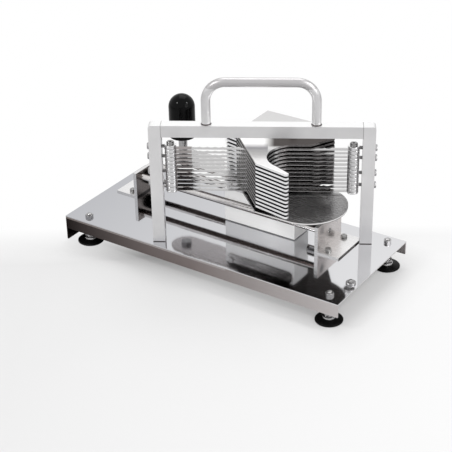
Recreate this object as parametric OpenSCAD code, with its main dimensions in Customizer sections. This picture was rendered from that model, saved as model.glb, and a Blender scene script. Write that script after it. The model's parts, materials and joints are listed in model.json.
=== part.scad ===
// Tomato slicer: a mirror-bright base on four suction feet carries two guide rods between
// two end brackets, and a diagonal portal that holds a stack of scalloped blades under a loop handle.
// A white carriage block runs on the rods. It carries the tray plate, the stack of finger
// plates that pass between the blades, and the upright grip that the user pushes.
// X is the pushing direction, Y points to the far side and Z is up from the floor.

/* [Base] */
// Length of the base sheet
base_l = 430; // [420:1:480]
// Width of the base sheet
base_w = 184; // [178:1:210]
// Thickness of the base sheet
base_t = 2; // [1.5:0.1:3]
// Depth of the two long flanges, from the top of the base
flange_h = 19; // [10:1:24]
// Gap between the deep flange at the left end and the floor
end_gap = 1; // [0.5:0.5:8]
// Height of the top of the base above the floor
base_h = 37; // [34:1:46]
// Diameter of the lone screw near the right end of the base
base_screw_d = 6.5; // [6:0.5:10]
// Height of that screw above the base
base_screw_h = 5; // [4:0.5:8]
// Distance of that screw from the right end of the base
base_screw_in = 11; // [8:1:16]
// Distance of that screw from the centre line of the base
base_screw_y = 39; // [30:1:50]

/* [Feet] */
// Diameter of a rubber suction foot
pad_d = 36; // [32:1:40]
// Height of the straight rim of a suction foot
pad_h = 3; // [3:0.5:6]
// Height of the dome above that rim
dome_h = 4; // [4:0.5:7]
// Diameter of the top of that dome
dome_d = 20; // [17:1:24]
// Diameter of the stem of a foot
stem_d = 12; // [10:0.5:14]
// Diameter of the threaded end of the stem
thread_d = 6; // [5:0.5:9]
// Distance across the corners of the nut on a foot's pad
foot_nut_d = 16; // [14:0.5:17]
// Distance across the corners of the nut above the base
top_nut_d = 11; // [10:0.5:14]
// Height of the nut above the base
top_nut_h = 4; // [3:0.5:6]
// Height of the nut on a foot's pad
foot_nut_h = 5; // [4:0.5:7]
// Length of thread that stands out of the top nut
thread_end = 1.5; // [1:0.5:5]
// Distance from the left end of the base to the left feet
foot_in_left = 30; // [24:1:40]
// Distance from the right end of the base to the right feet
foot_in_right = 20; // [20:1:26]
// Distance from a long edge of the base to the feet
foot_in_side = 15; // [12:1:22]

/* [Rails] */
// Distance from the right end of the base to the inner face of the right bracket
rail_out = 88; // [84:1:92]
// Distance from the left end of the base to the inner face of the left bracket
rail_in = 53; // [48:1:60]
// Distance of the centre line of the rails in front of the back edge of the base
rail_side = 59; // [56:1:62]
// Diameter of a guide rod
rod_d = 10; // [8:0.5:12]
// Distance between the axes of the two guide rods
rod_pitch = 38; // [37:1:46]
// Height of the rod axes above the base
rod_z = 29; // [20:1:30]
// Width of an end bracket
bracket_w = 62; // [58:1:66]
// Thickness of an end bracket
bracket_t = 5; // [4:0.5:7]
// Height of an end bracket
bracket_h = 38; // [36:1:44]
// Length of a bracket's foot, its upright included
bracket_foot_l = 36; // [32:1:46]
// Diameter of a bracket bolt
bracket_bolt_d = 5; // [4:0.5:6]
// Diameter of a bracket bolt's head
bracket_head_d = 9; // [8:0.5:11]
// Height of a bracket bolt's head
bracket_head_h = 4; // [3:0.5:6]
// Distance between the two bolts of a bracket
bracket_bolt_pitch = 42; // [36:1:50]
// Distance of those bolts from the free end of the foot
bracket_bolt_in = 21; // [12:1:26]
// Diameter of the stop pin on the right bracket
stop_d = 12; // [10:1:16]
// Length of the stop pin in front of its bracket
stop_l = 26; // [16:1:30]
// Diameter of the rubber bumper on the left bracket
bumper_d = 20; // [14:1:24]
// Length of the rubber bumper
bumper_l = 8; // [5:1:12]
// Height of the stop pin and the bumper above the base
stop_z = 20; // [14:1:24]
// Diameter of the threads that hold the stop pin and the bumper
stop_thread_d = 7; // [5:0.5:8]
// Depth of the recess in the outer face behind the stop pin
stop_recess = 2; // [1:0.5:3]

/* [Carriage] */
// Gap between the carriage at rest and the stop pin
stop_gap = 12; // [10:1:14]
// Length of the carriage block
block_l = 110; // [100:1:116]
// Width of the carriage block
block_w = 36; // [33:1:37]
// Height of the carriage block
block_h = 67.5; // [60:0.5:70]
// Gap between the block and the base
block_gap = 1.5; // [1:0.5:6]
// Height of the strip on the front of the block
strip_h = 17.5; // [12:0.5:20]
// Thickness of that strip
strip_t = 3; // [2:0.5:4]
// Distance of that strip below the top of the block
strip_drop = 1; // [0.5:0.5:4]
// Distance between the two screws of the strip
strip_pitch = 90; // [70:1:92]
// Diameter of a strip screw
strip_screw_d = 4; // [3:0.5:5]
// Diameter of a strip screw's head
strip_head_d = 8; // [7:0.5:10]
// Height of a strip screw's head
strip_head_h = 2; // [1:0.5:3]
// Depth of the strip screws in the block
strip_screw_in = 10; // [6:1:16]

/* [Tray plate] */
// Thickness of the tray plate
plate_t = 3; // [2:0.5:4]
// Width of the tongue that carries the grip
tongue_w = 43; // [38:1:48]
// Distance from the left face of the block to the axis of the grip
tongue_l = 78; // [66:1:90]
// Distance of the tongue in front of the centre line of the rails
tongue_side = 3; // [0:1:6]
// Radius of the round right end of the tray
tray_r = 52; // [48:1:56]
// Distance from the left face of the block to the centre of that round end
tray_l = 139; // [130:1:144]
// Distance of that centre in front of the centre line of the rails
tray_side = 35; // [31:1:37]

/* [Grip] */
// Diameter of the grip
grip_d = 36; // [30:1:38]
// Length of the grip, its domed top included
grip_l = 61; // [50:1:70]
// Length of the bare stem between the plate and the grip
grip_stem_l = 30; // [20:1:36]
// Diameter of that stem
grip_stem_d = 12; // [10:1:14]
// Diameter of the thread at both ends of the stem
grip_thread_d = 8; // [6:0.5:9]
// Length of the thread inside the grip
grip_thread_l = 22; // [14:1:28]
// Distance across the corners of the nut under the plate
grip_nut_d = 16; // [14:0.5:18]
// Height of that nut
grip_nut_h = 5; // [4:0.5:7]

/* [Fingers] */
// Thickness of a finger plate
finger_t = 2.8; // [2:0.1:3.4]
// Distance from the left face of the block to the left edge of the finger plates
finger_in = 21; // [18:1:26]
// Length from that edge to the tip of the near prong
finger_l = 121.5; // [118:0.5:126]
// Length from that edge to the near corner
finger_corner_l = 71.5; // [66:0.5:80]
// Length from that edge to the end of the far prong
far_prong_l = 120; // [112:1:124]
// Length from that edge to the corner behind the far prong
finger_back_l = 98; // [88:1:104]
// Distance of the near edge in front of the centre line of the rails
finger_near = 92.5; // [88:0.5:94]
// Distance of the start of the slanted edge in front of the centre line of the rails
finger_slant = 20; // [18:1:26]
// Distance of the back edge behind the centre line of the rails
finger_back = 58; // [54:1:60]
// Distance of the far prong's end behind the centre line of the rails
far_prong_y = 29.5; // [22:0.5:32]
// Length from the left edge of the plates to the front corner of the far prong
far_tip_l = 104; // [98:1:108]
// Distance of that corner in front of the centre line of the rails
far_tip_y = 3; // [1:0.5:6]
// Distance of the near corner behind the line of the near edge
near_slant = 7.5; // [4:0.5:10]
// Corner radius of the near prong's tip
tip_r = 3; // [2:0.5:5]
// Radius of the round bottom of the notch
notch_r = 35.5; // [34:0.5:37]
// Length from the left edge of the plates to the centre of that round
notch_l = 104.5; // [102:0.5:107]
// Distance of that centre in front of the centre line of the rails
notch_side = 44.5; // [43:0.5:46]
// Slant of the near wall of the notch
near_wall_angle = 19.5; // [18:0.5:21]
// Slant of the far wall of the notch
far_wall_angle = 31.5; // [29:0.5:34]
// Width of the square post at the left of the plates
post_w = 7; // [7:0.5:12]
// Length of the ears that reach from the plates to the post
ear_l = 17.5; // [10:0.5:20]
// Width of those ears
ear_w = 16; // [12:1:20]
// Distance of the ears and the post in front of the centre line of the rails
ear_side = 9; // [6:1:12]
// Diameter of a through bolt of the plates
finger_bolt_d = 6; // [5:0.5:8]
// Diameter of the spacers on those bolts
finger_spacer_d = 12; // [10:0.5:16]
// Diameter of those bolts' heads
finger_head_d = 10; // [9:0.5:13]
// Height of those bolts' heads
finger_head_h = 4; // [3:0.5:6]
// Depth of those bolts in the block
finger_bolt_in = 14; // [8:1:20]

/* [Blades] */
// Number of blades
blade_count = 12; // [6:1:12]
// Distance between one blade and the next
blade_pitch = 5.4; // [5.2:0.1:5.6]
// Thickness of a blade
blade_t = 0.5; // [0.3:0.1:0.8]
// Width of a blade
blade_w = 8; // [8:0.5:14]
// Gap between the tray plate and the lowest blade
blade_low_gap = 3.15; // [2.5:0.05:4]
// Length of one scallop of the cutting edge
tooth_l = 10; // [6:0.5:12]
// Depth of a scallop
tooth_h = 2.2; // [0.8:0.1:2.4]
// Distance from the axis of a leg of the portal to the axis of its blade stack
stack_in = 19.25; // [18.5:0.25:20.5]
// Diameter of the spacers of a blade stack
spacer_d = 15; // [12:0.5:15]
// Gap between the tray plate and the bottom of a blade stack
stack_gap = 1; // [0.5:0.25:1.5]
// Diameter of a stack screw
stack_screw_d = 6; // [5:0.5:7]
// Diameter of a stack screw's head
stack_head_d = 10; // [9:0.5:12]
// Height of a stack screw's head
stack_head_h = 4; // [3:0.5:5]

/* [Portal] */
// Distance between the axes of the portal's two legs
portal_span = 273; // [270:0.5:276]
// Side of the square legs and bar
tube_w = 16; // [13:0.5:16]
// Height of the underside of the bar above the base
portal_h = 153; // [148:1:170]
// Corner radius of the top of the portal
portal_r = 4; // [2:0.5:6]
// Distance from the right end of the base to the middle of the portal
portal_in = 163.6; // [161:0.1:165]
// Distance of the middle of the portal in front of the base's centre line
portal_y = 5.5; // [5:0.1:7]
// Angle of the portal across the base
portal_angle = 30.5; // [30:0.1:31]
// Diameter of a tension bolt
tension_d = 5; // [4:0.5:6]
// Diameter of a tension bolt's head
tension_head_d = 9; // [8:0.5:11]
// Height of a tension bolt's head
tension_head_h = 4; // [3:0.5:6]

/* [Handle] */
// Diameter of the round bar of the handle
handle_d = 12; // [10:0.5:14]
// Distance between the two legs of the handle, from axis to axis
handle_span = 140; // [120:1:160]
// Distance of the handle to the left of the portal's middle
handle_shift = 0.5; // [0:0.5:6]
// Height of the handle above the portal
handle_h = 63; // [50:1:75]
// Bend radius of the handle at the axis of its bar
handle_r = 25; // [16:1:30]

/* [Fits] */
// Radial clearance of the guide rods in the block
run_gap = 0.05; // [0.02:0.01:0.09]
// Radial clearance of the guide rods in the brackets
seat_gap = 0.05; // [0.02:0.01:0.1]
// Clearance between a leg of the portal and the foot of a bracket
leg_gap = 0.5; // [0.2:0.1:1]
// Radial clearance of bolts and screws in their holes
bolt_gap = 0.15; // [0.05:0.05:0.3]
// Gap between a tension bolt and the spacers that it draws on
tension_gap = 0.2; // [0.1:0.05:0.3]

/* [Hidden] */
$fn = 64;
// Length by which a cut runs past the face that it opens
cut = 1;
// Distance by which the walls of the notch start inside its round bottom
wall_in = 0.4;
// Steps of one scallop, of a dome and of a rounded tip
tooth_steps = 4;
dome_steps = 6;
tip_steps = 6;
// Places of the plates' through bolts, as shares of finger_l and finger_back
finger_bolt_shares = [[0.1, -0.12], [0.31, 0.17], [0.58, 0.12]];
// Heights of the tension bolts, as shares of the height of a blade stack
tension_shares = [0.17, 0.43, 0.75, 0.96];

base_x0 = -base_l / 2;
base_x1 = base_l / 2;
foot_x = [base_x0 + foot_in_left, base_x1 - foot_in_right];
foot_y = base_w / 2 - foot_in_side;
pad_top = pad_h + dome_h;
base_screw_at = [base_x1 - base_screw_in, -base_screw_y, base_h];

rail_x0 = base_x0 + rail_in;
rail_x1 = base_x1 - rail_out;
rail_l = rail_x1 - rail_x0;
rail_y = base_w / 2 - rail_side;
rod_h = base_h + rod_z;
rod_ys = [rail_y - rod_pitch / 2, rail_y + rod_pitch / 2];
stop_h = base_h + stop_z;

block_x1 = rail_x1 - stop_l - stop_gap;
block_x0 = block_x1 - block_l;
block_y0 = rail_y - block_w / 2;
block_z0 = base_h + block_gap;
block_top = block_z0 + block_h;
strip_z = block_top - strip_drop - strip_h / 2;
strip_xs = [for (s = [-1, 1]) block_x0 + block_l / 2 + s * strip_pitch / 2];

plate_top = block_top + plate_t;
grip_x = block_x0 - tongue_l;
tongue_y = rail_y - tongue_side;
tray_x = block_x0 + tray_l;
tray_y = rail_y - tray_side;
grip_z = plate_top + grip_stem_l;

finger_x0 = block_x0 + finger_in;
post_x1 = finger_x0 - ear_l;
ear_y = rail_y - ear_side;
finger_bolts_at = [for (p = finger_bolt_shares) [finger_x0 + p[0] * finger_l, rail_y + p[1] * finger_back]];

// Heights of the middles of blade i and of the plate above it
function blade_z(i) = plate_top + blade_low_gap + blade_t / 2 + (i - 1) * blade_pitch;
function finger_z(i) = blade_z(i) + blade_pitch / 2;
top_plate_top = finger_z(blade_count) + finger_t / 2;
stack_z0 = plate_top + stack_gap;
spacer_h = blade_pitch - blade_t;
stack_top = blade_z(blade_count) + blade_t / 2 + spacer_h;
stack_h = stack_top - stack_z0;
stack_span = portal_span - 2 * stack_in;
tooth_count = floor((stack_span - 2 * spacer_d) / tooth_l);
portal_x = base_x1 - portal_in;
bar_z = base_h + portal_h;
bar_l = portal_span + tube_w;

function two(i) = i < 10 ? str("0", i) : str(i);

// A round bar along X, and a round hole along X with the same arguments
module x_bar(x, y, z, d, l) {
    translate([x, y, z]) rotate([0, 90, 0]) cylinder(d = d, h = l);
}

// A round bar or hole straight up
module z_bar(x, y, z, d, l) {
    translate([x, y, z]) cylinder(d = d, h = l);
}

// A hexagonal nut straight up
module nut(x, y, z, d, h) {
    translate([x, y, z]) cylinder(d = d, h = h, $fn = 6);
}

// The portal's own frame: X along the bar, Y to the far side
module portal_frame() {
    translate([portal_x, -portal_y, 0]) rotate([0, 0, portal_angle]) children();
}

// The base is one folded sheet: two shallow long flanges and a deep one at the left end
module base() {
    color("gainsboro") difference() {
        union() {
            translate([base_x0, -base_w / 2, base_h - base_t]) cube([base_l, base_w, base_t]);
            for (y = [-base_w / 2, base_w / 2 - base_t])
                translate([base_x0, y, base_h - flange_h]) cube([base_l, base_t, flange_h]);
            translate([base_x0, -base_w / 2, end_gap]) cube([base_t, base_w, base_h - end_gap]);
        }
        for (x = foot_x, s = [-1, 1])
            z_bar(x, s * foot_y, base_h - base_t - cut, thread_d + 2 * bolt_gap, base_t + 2 * cut);
        for (b = bracket_bolts_at(-1)) base_bolt_hole(b);
        for (b = bracket_bolts_at(1)) base_bolt_hole(b);
    }
}

module base_bolt_hole(b) {
    z_bar(b[0], b[1], base_h - base_t - cut, bracket_bolt_d + 2 * bolt_gap, base_t + 2 * cut);
}

// A suction foot: a straight rim under a low dome
module pad(x, s) {
    color([0.05, 0.05, 0.05]) translate([x, s * foot_y, 0]) rotate_extrude()
        polygon(concat([[0, 0], [pad_d / 2, 0]],
            [for (k = [0:dome_steps]) let (a = 90 * k / dome_steps)
                [dome_d / 2 + (pad_d - dome_d) / 2 * cos(a), pad_h + dome_h * sin(a)]],
            [[0, pad_top]]));
}

// The steel of a foot: a nut on the pad, the stem, its thread through the base and the top nut
module foot(x, s) {
    y = s * foot_y;
    under = base_h - base_t;
    color("silver") {
        nut(x, y, pad_top, foot_nut_d, foot_nut_h);
        z_bar(x, y, pad_top, stem_d, under - pad_top);
        z_bar(x, y, pad_top, thread_d, base_h + top_nut_h + thread_end - pad_top);
        nut(x, y, base_h, top_nut_d, top_nut_h);
    }
}

module base_screw() {
    color("silver") translate(base_screw_at) {
        cylinder(d = 2 * base_screw_d, h = base_t);
        cylinder(d = base_screw_d, h = base_screw_h);
    }
}

// Places of the two bolts of the bracket on side s
function bracket_bolts_at(s) =
    [for (k = [-1, 1]) [s < 0 ? rail_x0 - bracket_foot_l + bracket_bolt_in : rail_x1 + bracket_foot_l - bracket_bolt_in,
        rail_y + k * bracket_bolt_pitch / 2]];

// An end bracket: an upright that holds the rods, and a foot that points outwards
module bracket(s) {
    x = s < 0 ? rail_x0 : rail_x1;
    color("lightgray") difference() {
        union() {
            translate([s < 0 ? x - bracket_t : x, rail_y - bracket_w / 2, base_h])
                cube([bracket_t, bracket_w, bracket_h]);
            translate([s < 0 ? x - bracket_foot_l : x, rail_y - bracket_w / 2, base_h])
                cube([bracket_foot_l, bracket_w, bracket_t]);
        }
        for (y = rod_ys)
            x_bar(min(x, x + s * bracket_t) - cut, y, rod_h, rod_d + 2 * seat_gap, bracket_t + 2 * cut);
        x_bar(min(x, x + s * bracket_t) - cut, rail_y, stop_h, stop_thread_d + 2 * bolt_gap, bracket_t + 2 * cut);
        for (b = bracket_bolts_at(s))
            z_bar(b[0], b[1], base_h - cut, bracket_bolt_d + 2 * bolt_gap, bracket_t + 2 * cut);
        for (side = [-1, 1]) leg_room(side);
    }
}

// Room for a leg of the portal in the foot of a bracket
module leg_room(s) {
    side = tube_w + 2 * leg_gap;
    portal_frame() translate([s * portal_span / 2 - side / 2, -side / 2, base_h - cut])
        cube([side, side, bracket_h + 2 * cut]);
}

module bracket_bolts(s) {
    color("dimgray") for (b = bracket_bolts_at(s)) {
        z_bar(b[0], b[1], base_h + bracket_t, bracket_head_d, bracket_head_h);
        z_bar(b[0], b[1], base_h - base_t - bracket_head_h, bracket_bolt_d, base_t + bracket_head_h + bracket_t + bracket_head_h);
        nut(b[0], b[1], base_h - base_t - bracket_head_h, bracket_head_d, bracket_head_h);
    }
}

module rod(y) {
    color("silver") x_bar(rail_x0 - bracket_t, y, rod_h, rod_d, rail_l + 2 * bracket_t);
}

module stop_pin() {
    color("silver") {
        x_bar(rail_x1 - stop_l, rail_y, stop_h, stop_d, stop_l);
        x_bar(rail_x1 - stop_l, rail_y, stop_h, stop_thread_d, stop_l + bracket_t - stop_recess);
    }
}

module bumper() {
    color([0.08, 0.08, 0.08]) {
        x_bar(rail_x0, rail_y, stop_h, bumper_d, bumper_l);
        x_bar(rail_x0 - bracket_t, rail_y, stop_h, stop_thread_d, bracket_t + bumper_l);
    }
}

// A leg of the portal, drilled for its tension bolts
module portal_leg(s) {
    color("silver") portal_frame() difference() {
        translate([s * portal_span / 2 - tube_w / 2, -tube_w / 2, base_h]) cube([tube_w, tube_w, portal_h]);
        for (t = tension_shares)
            x_bar(s * portal_span / 2 - tube_w / 2 - cut, 0, stack_z0 + t * stack_h,
                tension_d + 2 * bolt_gap, tube_w + 2 * cut);
    }
}

// The bar of the portal, with its two upper corners rounded
module portal_bar() {
    color("silver") portal_frame() translate([0, tube_w / 2, bar_z]) rotate([90, 0, 0])
        linear_extrude(height = tube_w) {
            translate([-bar_l / 2, 0]) square([bar_l, tube_w - portal_r]);
            translate([-bar_l / 2 + portal_r, 0]) square([bar_l - 2 * portal_r, tube_w]);
            for (s = [-1, 1]) translate([s * (bar_l / 2 - portal_r), tube_w - portal_r]) circle(r = portal_r);
        }
}

// The handle is one bent round bar
module handle() {
    leg_l = handle_h - handle_d / 2 - handle_r;
    color("silver") portal_frame() translate([-handle_shift, 0, bar_z + tube_w]) {
        for (s = [-1, 1]) translate([s * handle_span / 2, 0, 0]) {
            cylinder(d = handle_d, h = leg_l);
            translate([-s * handle_r, 0, leg_l]) rotate([90, 0, 0])
                rotate([0, 0, s < 0 ? 90 : 0]) rotate_extrude(angle = 90)
                    translate([handle_r, 0]) circle(d = handle_d);
        }
        translate([-handle_span / 2 + handle_r, 0, leg_l + handle_r]) rotate([0, 90, 0])
            cylinder(d = handle_d, h = handle_span - 2 * handle_r);
    }
}

// One ring of a blade stack
module ring(s, z, h) {
    translate([s * stack_span / 2, 0, z]) difference() {
        cylinder(d = spacer_d, h = h);
        translate([0, 0, -cut]) cylinder(d = stack_screw_d + 2 * bolt_gap, h = h + 2 * cut);
    }
}

// The rings under, between and over the ends of the blades
module spacers(s) {
    color("gainsboro") portal_frame() {
        ring(s, stack_z0, blade_low_gap - stack_gap);
        for (i = [1:blade_count]) ring(s, blade_z(i) + blade_t / 2, spacer_h);
    }
}

module stack_screw(s) {
    color("dimgray") portal_frame() translate([s * stack_span / 2, 0, 0]) {
        translate([0, 0, stack_z0]) cylinder(d = stack_screw_d, h = stack_h + stack_head_h);
        translate([0, 0, stack_top]) cylinder(d = stack_head_d, h = stack_head_h);
    }
}

// The bolts that pull a blade stack towards its leg
module tension_bolts(s) {
    inner = stack_span / 2 + spacer_d / 2 + tension_gap;
    outer = portal_span / 2 + tube_w / 2;
    color("silver") portal_frame() for (t = tension_shares) {
        z = stack_z0 + t * stack_h;
        x_bar(s < 0 ? -outer - tension_head_h : inner, 0, z, tension_d, outer + tension_head_h - inner);
        x_bar(s < 0 ? -outer - tension_head_h : outer, 0, z, tension_head_d, tension_head_h);
    }
}

// A blade: a straight front edge and a scalloped cutting edge that faces the fruit
module blade(i) {
    steps = tooth_count * tooth_steps;
    x_of = tooth_count * tooth_l / 2;
    end = stack_span / 2 + spacer_d / 2;
    color("whitesmoke") portal_frame() translate([0, 0, blade_z(i) - blade_t / 2]) difference() {
        linear_extrude(height = blade_t)
            polygon(concat([[end, blade_w / 2], [end, -blade_w / 2], [-end, -blade_w / 2], [-end, blade_w / 2]],
                [for (k = [0:steps]) [-x_of + k * tooth_l / tooth_steps,
                    blade_w / 2 - tooth_h * abs(sin(180 * k / tooth_steps))]]));
        for (s = [-1, 1]) translate([s * stack_span / 2, 0, -cut])
            cylinder(d = stack_screw_d + 2 * bolt_gap, h = blade_t + 2 * cut);
    }
}

// The carriage block, with a round channel along each side for a guide rod
module block() {
    color("white") difference() {
        translate([block_x0, block_y0, block_z0]) cube([block_l, block_w, block_h]);
        for (y = rod_ys) x_bar(block_x0 - cut, y, rod_h, rod_d + 2 * run_gap, block_l + 2 * cut);
        for (p = finger_bolts_at)
            z_bar(p[0], p[1], block_top - finger_bolt_in, finger_bolt_d + 2 * bolt_gap, finger_bolt_in + cut);
        for (x = strip_xs) translate([x, block_y0 - cut, strip_z]) rotate([-90, 0, 0])
            cylinder(d = strip_screw_d + 2 * bolt_gap, h = strip_screw_in + 2 * cut);
    }
}

// The strip on the front of the block, with its two screws
module block_strip() {
    color("gray") translate([0, block_y0, strip_z]) rotate([90, 0, 0]) {
        for (x = strip_xs) translate([x, 0, -strip_screw_in]) cylinder(d = strip_screw_d, h = strip_screw_in + strip_t);
        linear_extrude(height = strip_t) {
            for (x = strip_xs) translate([x, 0]) circle(d = strip_h);
            translate([strip_xs[0], -strip_h / 2]) square([strip_pitch, strip_h]);
        }
        for (x = strip_xs) translate([x, 0, strip_t]) cylinder(d = strip_head_d, h = strip_head_h);
    }
}

// The plate on the block: a round-ended tongue on the left and a wide round-ended tray on the right
module tray_plate() {
    near_y = tray_y - tray_r;
    color("lightgray") difference() {
        translate([0, 0, block_top]) linear_extrude(height = plate_t) {
            translate([grip_x, tongue_y]) circle(d = tongue_w);
            translate([grip_x, tongue_y - tongue_w / 2]) square([finger_x0 - grip_x, tongue_w]);
            polygon([[finger_x0, tongue_y + tongue_w / 2], [finger_x0, tongue_y - tongue_w / 2],
                [finger_x0 + finger_corner_l, near_y], [tray_x, near_y], [tray_x, near_y + 2 * tray_r]]);
            translate([tray_x, tray_y]) circle(r = tray_r);
        }
        z_bar(grip_x, tongue_y, block_top - cut, grip_thread_d + 2 * bolt_gap, plate_t + 2 * cut);
        for (p = finger_bolts_at)
            z_bar(p[0], p[1], block_top - cut, finger_bolt_d + 2 * bolt_gap, plate_t + 2 * cut);
    }
}

// The grip has a domed top and a blind threaded hole in its foot
module grip() {
    color([0.04, 0.04, 0.04]) translate([grip_x, tongue_y, grip_z]) rotate_extrude() difference() {
        union() {
            square([grip_d / 2, grip_l - grip_d / 2]);
            translate([0, grip_l - grip_d / 2]) intersection() {
                circle(d = grip_d);
                square([grip_d / 2, grip_d / 2]);
            }
        }
        translate([-cut, -cut]) square([grip_thread_d / 2 + bolt_gap + cut, grip_thread_l + bolt_gap + cut]);
    }
}

module grip_stem() {
    color("silver") {
        z_bar(grip_x, tongue_y, plate_top, grip_stem_d, grip_stem_l);
        z_bar(grip_x, tongue_y, block_top - grip_nut_h, grip_thread_d, grip_nut_h + plate_t + grip_stem_l + grip_thread_l);
        nut(grip_x, tongue_y, block_top - grip_nut_h, grip_nut_d, grip_nut_h);
    }
}

// Outline of a finger plate: a slanted left side, a thin near prong and a notch for the fruit
module finger_outline() {
    near_y = rail_y - finger_near;
    tip_x = finger_x0 + finger_l;
    far_tip = [finger_x0 + far_tip_l, rail_y - far_tip_y];
    far_end = [finger_x0 + far_prong_l, rail_y + far_prong_y];
    difference() {
        polygon(concat(
            [[finger_x0, rail_y + finger_back], [finger_x0, ear_y + ear_w / 2],
             [post_x1, ear_y + ear_w / 2], [post_x1, ear_y - ear_w / 2],
             [finger_x0, min(rail_y - finger_slant, ear_y - ear_w / 2)],
             [finger_x0 + finger_corner_l, near_y + near_slant]],
            [for (k = [0:tip_steps]) let (a = 270 + 90 * k / tip_steps)
                [tip_x - tip_r + tip_r * cos(a), near_y + tip_r + tip_r * sin(a)]],
            [[tip_x, rail_y - notch_side], far_tip + 0.3 * (far_tip - far_end), far_end,
             [finger_x0 + finger_back_l, rail_y + finger_back]]));
        notch();
    }
}

// The notch: a round bottom and two straight walls that open towards the blades.
// The walls start just inside the round, so that they cut it cleanly.
module notch() {
    reach = finger_l;
    c = [finger_x0 + notch_l, rail_y - notch_side];
    wall_r = notch_r - wall_in;
    n0 = c - wall_r * [sin(near_wall_angle), cos(near_wall_angle)];
    n1 = n0 + reach * [cos(near_wall_angle), -sin(near_wall_angle)];
    f0 = c - wall_r * [sin(far_wall_angle), -cos(far_wall_angle)];
    f1 = f0 + reach * [cos(far_wall_angle), sin(far_wall_angle)];
    translate(c) circle(r = notch_r);
    polygon([n0, n1, f1, f0, c]);
}

// A finger plate whose middle is at height z
module finger_plate(z) {
    difference() {
        translate([0, 0, z - finger_t / 2]) linear_extrude(height = finger_t) finger_outline();
        for (p = finger_bolts_at)
            z_bar(p[0], p[1], z - finger_t / 2 - cut, finger_bolt_d + 2 * bolt_gap, finger_t + 2 * cut);
    }
}

module finger(i) {
    color("silver") finger_plate(finger_z(i));
}

module top_plate() {
    color("gainsboro") finger_plate(finger_z(blade_count));
}

module finger_post() {
    color("white") translate([post_x1 - post_w, ear_y - post_w / 2, plate_top])
        cube([post_w, post_w, top_plate_top - plate_top]);
}

module finger_bolts() {
    color("dimgray") for (p = finger_bolts_at) {
        z_bar(p[0], p[1], block_top - finger_bolt_in, finger_bolt_d, top_plate_top + finger_head_h - block_top + finger_bolt_in);
        z_bar(p[0], p[1], top_plate_top, finger_head_d, finger_head_h);
    }
}

// One spacer of the finger stack
module finger_spacer(p, z, h) {
    translate([p[0], p[1], z]) difference() {
        cylinder(d = finger_spacer_d, h = h);
        translate([0, 0, -cut]) cylinder(d = finger_bolt_d + 2 * bolt_gap, h = h + 2 * cut);
    }
}

module finger_spacers() {
    color("silver") for (p = finger_bolts_at) {
        finger_spacer(p, plate_top, finger_z(1) - finger_t / 2 - plate_top);
        for (i = [1:blade_count - 1]) finger_spacer(p, finger_z(i) + finger_t / 2, blade_pitch - finger_t);
    }
}

base();
pad(foot_x[0], -1);  // pad_front_left
pad(foot_x[1], -1);  // pad_front_right
pad(foot_x[0], 1);  // pad_back_left
pad(foot_x[1], 1);  // pad_back_right
foot(foot_x[0], -1);  // foot_front_left
foot(foot_x[1], -1);  // foot_front_right
foot(foot_x[0], 1);  // foot_back_left
foot(foot_x[1], 1);  // foot_back_right
base_screw();
bracket(-1);  // bracket_left
bracket(1);  // bracket_right
bracket_bolts(-1);  // bracket_bolts_left
bracket_bolts(1);  // bracket_bolts_right
rod(rod_ys[0]);  // rod_near
rod(rod_ys[1]);  // rod_far
stop_pin();
bumper();
portal_leg(-1);  // portal_leg_left
portal_leg(1);  // portal_leg_right
portal_bar();
handle();
spacers(-1);  // spacers_left
spacers(1);  // spacers_right
stack_screw(-1);  // stack_screw_left
stack_screw(1);  // stack_screw_right
tension_bolts(-1);  // tension_bolts_left
tension_bolts(1);  // tension_bolts_right
block();
block_strip();
tray_plate();
grip();
grip_stem();
finger_post();
finger_bolts();
finger_spacers();
top_plate();
for (i = [1:blade_count]) {
    blade(i);
}
for (i = [1:blade_count - 1]) {
    finger(i);
}
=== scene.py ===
# %% [markdown]
# # A tomato slicer in steel and plastic
# The slicer has two parts that move against each other: a steel frame with a stack of
# blades, and a white block on two rods that carries the finger plates and the grip.
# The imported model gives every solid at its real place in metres, so this lesson only
# gives each solid its finish and adds the small hardware that a solid leaves plain.

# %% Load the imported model
import bpy
import bmesh
import json
import math
from mathutils import Matrix, Vector


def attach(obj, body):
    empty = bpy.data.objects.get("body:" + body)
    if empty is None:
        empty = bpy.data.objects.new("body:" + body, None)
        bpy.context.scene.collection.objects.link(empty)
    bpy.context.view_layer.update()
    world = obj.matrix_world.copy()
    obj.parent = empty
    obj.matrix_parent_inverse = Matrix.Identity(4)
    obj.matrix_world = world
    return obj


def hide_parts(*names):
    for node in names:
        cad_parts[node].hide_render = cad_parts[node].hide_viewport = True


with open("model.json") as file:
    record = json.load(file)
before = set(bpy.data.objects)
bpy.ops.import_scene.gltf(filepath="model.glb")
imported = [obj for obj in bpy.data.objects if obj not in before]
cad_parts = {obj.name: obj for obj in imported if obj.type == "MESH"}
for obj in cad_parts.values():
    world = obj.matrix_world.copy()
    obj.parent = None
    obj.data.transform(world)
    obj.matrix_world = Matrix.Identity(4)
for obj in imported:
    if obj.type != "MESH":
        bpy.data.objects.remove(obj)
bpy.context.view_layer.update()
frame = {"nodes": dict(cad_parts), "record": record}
nodes = frame["nodes"]
MM = 0.001
X, Y, Z = range(3)


def rounded(values, digits=3):
    return [round(v, digits) for v in values]


# %% [markdown]
# ## Camera
# The camera stands where the photograph was taken: in front, to the right and about
# thirty degrees up. It is written as a place and two directions, its right and its up,
# because three numbers for each are easier to check against the picture than angles.

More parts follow.
